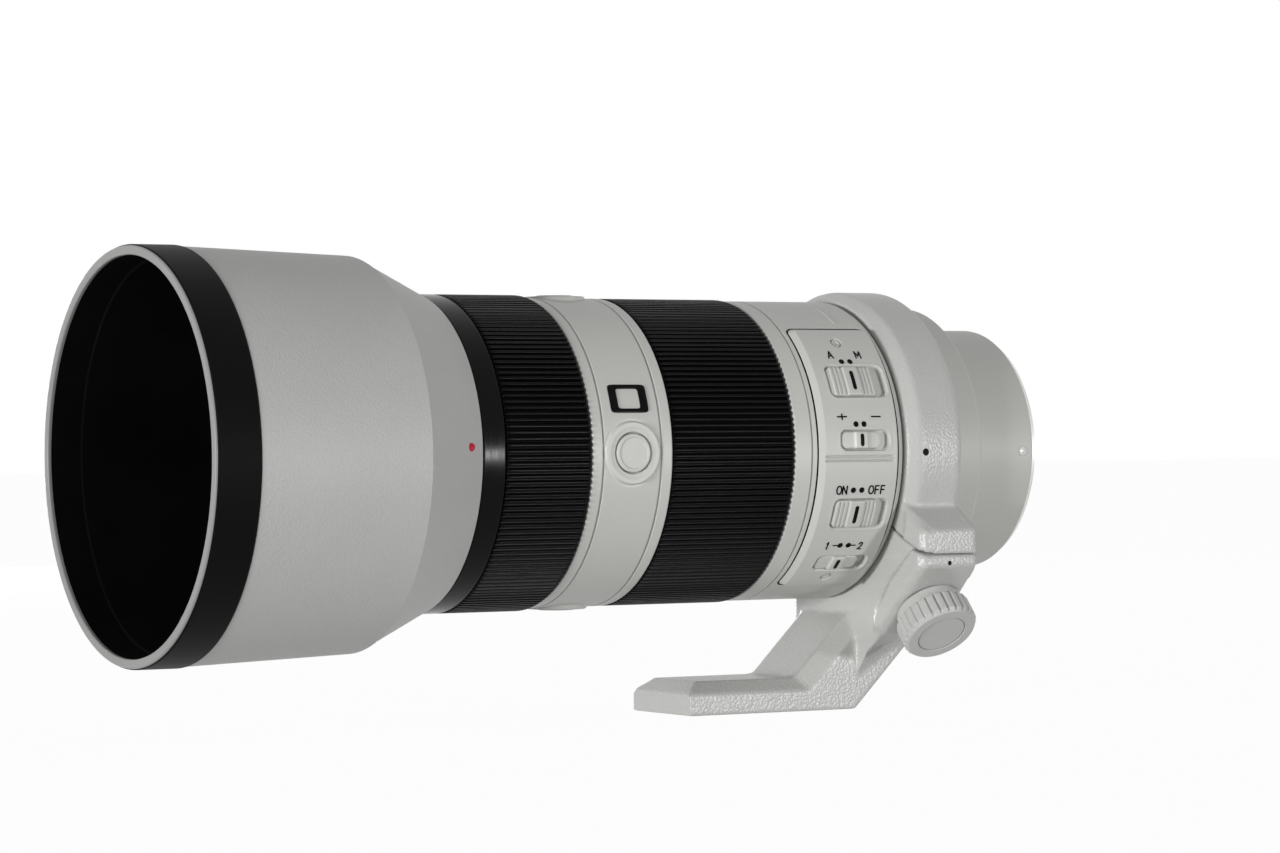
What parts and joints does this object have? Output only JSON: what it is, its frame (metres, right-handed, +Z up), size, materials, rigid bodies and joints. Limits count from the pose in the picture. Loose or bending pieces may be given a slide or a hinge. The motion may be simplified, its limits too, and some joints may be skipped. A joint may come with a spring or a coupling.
{
  "type": "camera zoom lens",
  "caption": "White telephoto zoom lens with ribbed zoom and focus rings, slide switches, a bayonet mount, a cone-shaped hood and a hinged tripod collar with a forward foot.",
  "frame": {"origin": "centre of the bayonet mount's flange face, on the optical axis", "axes": "+Y forward along the optical axis towards the subject, +Z up, +X to the right seen from behind the camera"},
  "size_m": [0.1026, 0.2517, 0.119],
  "materials": {
    "white_satin": "satin",
    "white_plastic": "satin",
    "hood_paint": "fine crinkle",
    "collar_paint": "crinkle",
    "knob_grey": "satin",
    "switch_grey": "satin",
    "rim_grey": "satin",
    "grip_rubber": "matte",
    "bumper_rubber": "satin",
    "black_satin": "satin",
    "gloss_black": "gloss",
    "black_plastic": "matte",
    "black_flock": "flock",
    "black_metal": "black anodised",
    "cam_metal": "machined",
    "mount_metal": "bright",
    "screw_steel": "plain",
    "contact_gold": "gold plated",
    "motor_copper": "wound wire",
    "board_green": "satin",
    "optical_glass": "coated",
    "white_bead": "gloss",
    "red_bead": "gloss"
  },
  "bodies": {
    "barrel": {"mount_ring": "mount_metal", "mount_screws": "screw_steel", "mount_dot": "white_bead", "rear_baffle": "black_plastic", "contact_block": "black_plastic", "contact_pins": "contact_gold", "rear_barrel": "white_satin", "main_barrel": "white_satin", "switch_panel": "white_plastic", "panel_screws": "screw_steel", "carrier_tube": "black_metal", "button_band": "white_satin", "badge_frame": "gloss_black", "front_barrel": "black_satin", "front_cell": "black_metal", "front_glass": "optical_glass", "inner_glass": "optical_glass", "name_ring": "black_plastic", "guide_tube": "cam_metal", "iris_housing": "black_plastic", "iris_blades": "black_metal", "focus_rods": "screw_steel", "focus_motor": "motor_copper", "stabiliser_housing": "black_plastic", "rear_cell": "black_metal", "rear_glass": "optical_glass", "main_board": "board_green"},
    "hood": {"hood_shell": "hood_paint", "hood_bumper": "bumper_rubber", "hood_rim": "rim_grey", "hood_lining": "black_flock", "hood_dot": "red_bead"},
    "focus_control": {"focus_ring": "black_metal", "focus_grip": "grip_rubber"},
    "zoom_control": {"zoom_ring": "black_metal", "zoom_grip": "grip_rubber", "zoom_key": "screw_steel", "cam_tube": "cam_metal"},
    "variator": {"variator_cell": "black_metal", "variator_glass": "optical_glass"},
    "compensator": {"compensator_cell": "black_metal", "compensator_glass": "optical_glass"},
    "focus_group": {"focus_cell": "black_plastic", "focus_glass": "optical_glass"},
    "stabiliser_slide": {"stabiliser_yoke": "black_plastic"},
    "stabiliser_group": {"stabiliser_cell": "black_plastic", "stabiliser_glass": "optical_glass"},
    "focus_slider": {"focus_switch": "switch_grey"},
    "range_slider": {"range_switch": "switch_grey"},
    "stabiliser_slider": {"stabiliser_switch": "switch_grey"},
    "mode_slider": {"mode_switch": "switch_grey"},
    "side_hold": {"side_button": "white_plastic"},
    "top_hold": {"top_button": "white_plastic"},
    "lower_hold": {"lower_button": "white_plastic"},
    "collar": {"collar_foot": "collar_paint", "hinge_pin": "screw_steel", "tripod_bush": "mount_metal"},
    "arch": {"collar_arch": "collar_paint"},
    "knob": {"clamp_knob": "knob_grey"}
  },
  "joints": [
    {"name": "hood_turn", "type": "hinge", "parent": "barrel", "child": "hood", "pos_m": [0, 0.173, 0], "axis": [0, 1, 0], "range_deg": [-60, 0]},
    {"name": "focus_turn", "type": "hinge", "parent": "barrel", "child": "focus_control", "pos_m": [0, 0.1518, 0], "axis": [0, 1, 0], "continuous": true},
    {"name": "zoom_turn", "type": "hinge", "parent": "barrel", "child": "zoom_control", "pos_m": [0, 0.0984, 0], "axis": [0, 1, 0], "range_deg": [0, 70]},
    {"name": "variator_move", "type": "slide", "parent": "barrel", "child": "variator", "axis": [0, 1, 0], "range_m": [-0.0221, 0.0001]},
    {"name": "compensator_move", "type": "slide", "parent": "barrel", "child": "compensator", "axis": [0, 1, 0], "range_m": [-0.0001, 0.0091]},
    {"name": "focus_group_move", "type": "slide", "parent": "barrel", "child": "focus_group", "axis": [0, 1, 0], "range_m": [-0.005, 0.005]},
    {"name": "stabiliser_yaw", "type": "slide", "parent": "barrel", "child": "stabiliser_slide", "axis": [1, 0, 0], "range_m": [-0.001, 0.001]},
    {"name": "stabiliser_pitch", "type": "slide", "parent": "stabiliser_slide", "child": "stabiliser_group", "axis": [0, 0, 1], "range_m": [-0.001, 0.001]},
    {"name": "focus_switch_slide", "type": "slide", "parent": "barrel", "child": "focus_slider", "axis": [0, -1, 0], "range_m": [0, 0.0024]},
    {"name": "range_switch_slide", "type": "slide", "parent": "barrel", "child": "range_slider", "axis": [0, -1, 0], "range_m": [0, 0.0024]},
    {"name": "stabiliser_switch_slide", "type": "slide", "parent": "barrel", "child": "stabiliser_slider", "axis": [0, -1, 0], "range_m": [0, 0.0024]},
    {"name": "mode_switch_slide", "type": "slide", "parent": "barrel", "child": "mode_slider", "axis": [0, -1, 0], "range_m": [0, 0.0024]},
    {"name": "side_button_press", "type": "slide", "parent": "barrel", "child": "side_hold", "axis": [1, 0, 0], "range_m": [0, 0.0006], "stiffness_N_per_m": 800, "springref_m": -0.0004},
    {"name": "top_button_press", "type": "slide", "parent": "barrel", "child": "top_hold", "axis": [0, 0, -1], "range_m": [0, 0.0006], "stiffness_N_per_m": 800, "springref_m": -0.0004},
    {"name": "lower_button_press", "type": "slide", "parent": "barrel", "child": "lower_hold", "axis": [0, 0, 1], "range_m": [0, 0.0006], "stiffness_N_per_m": 800, "springref_m": -0.0004},
    {"name": "collar_turn", "type": "hinge", "parent": "barrel", "child": "collar", "pos_m": [0, 0.0385, 0], "axis": [0, 1, 0], "continuous": true},
    {"name": "arch_open", "type": "hinge", "parent": "collar", "child": "arch", "pos_m": [0.03664, 0.0385, 0.02289], "axis": [0, 1, 0], "range_deg": [0, 75]},
    {"name": "knob_turn", "type": "hinge", "parent": "collar", "child": "knob", "pos_m": [-0.03613, 0.0385, -0.04013], "axis": [-0.6691, 0, -0.7431], "range_deg": [0, 720]}
  ],
  "couplings": [
    {"joint": "variator_move", "follows": "zoom_turn", "m_per_rad": -0.018007},
    {"joint": "compensator_move", "follows": "zoom_turn", "m_per_rad": 0.0073667}
  ]
}
